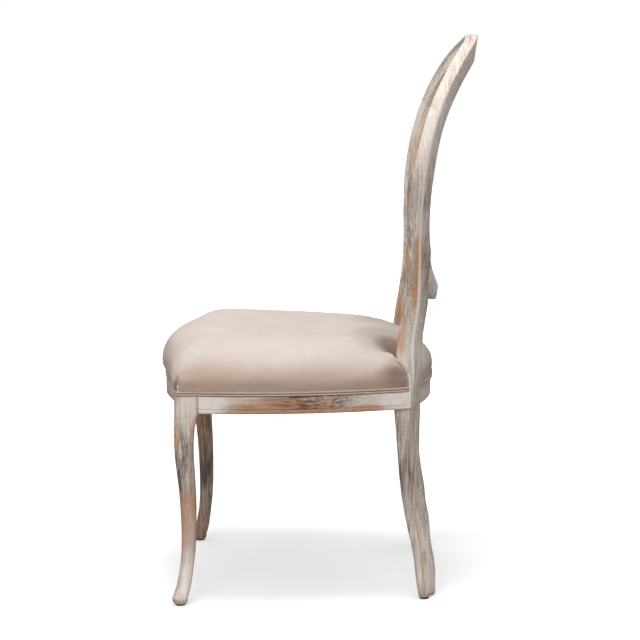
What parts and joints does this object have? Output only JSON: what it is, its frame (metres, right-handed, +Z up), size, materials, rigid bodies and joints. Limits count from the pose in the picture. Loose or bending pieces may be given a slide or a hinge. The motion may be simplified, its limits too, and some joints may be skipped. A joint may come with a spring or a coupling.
{
  "type": "cane back dining chair",
  "caption": "Wooden side chair with a caned balloon back leaning rearwards, sabre rear legs, light cabriole front legs and a domed fabric seat edged with double welt.",
  "frame": {"origin": "on the floor under the middle of the chair's depth and width", "axes": "+Z up, the chair faces -Y, +X towards the chair's left side as someone seated in it would say"},
  "size_m": [0.5242, 0.5976, 1.03],
  "materials": {
    "limewashed_wood": "matte",
    "raw_wood": "matte",
    "cane": "satin",
    "jute": "matte",
    "foam": "matte",
    "linen": "matte",
    "black_cloth": "matte",
    "steel": "satin",
    "nylon": "satin"
  },
  "bodies": {
    "root": {"rear_post_left": "limewashed_wood", "rear_post_right": "limewashed_wood", "crest_rail": "limewashed_wood", "lower_back_rail": "limewashed_wood", "front_leg_left": "limewashed_wood", "front_leg_right": "limewashed_wood", "front_rail": "limewashed_wood", "rear_rail": "limewashed_wood", "side_rail_left": "limewashed_wood", "side_rail_right": "limewashed_wood", "back_dowels": "raw_wood", "corner_block_front_left": "raw_wood", "corner_block_front_right": "raw_wood", "corner_block_rear_left": "raw_wood", "corner_block_rear_right": "raw_wood", "cane_panel": "cane", "cane_spline": "cane", "seat_webbing_lengthwise": "jute", "seat_webbing_crosswise": "jute", "hessian_sheet": "jute", "seat_foam": "foam", "seat_cover": "linen", "double_welt_front": "linen", "double_welt_rear": "linen", "dust_cover": "black_cloth", "corner_block_screws": "steel", "webbing_tacks": "steel", "foot_glides": "nylon"}
  },
  "joints": []
}
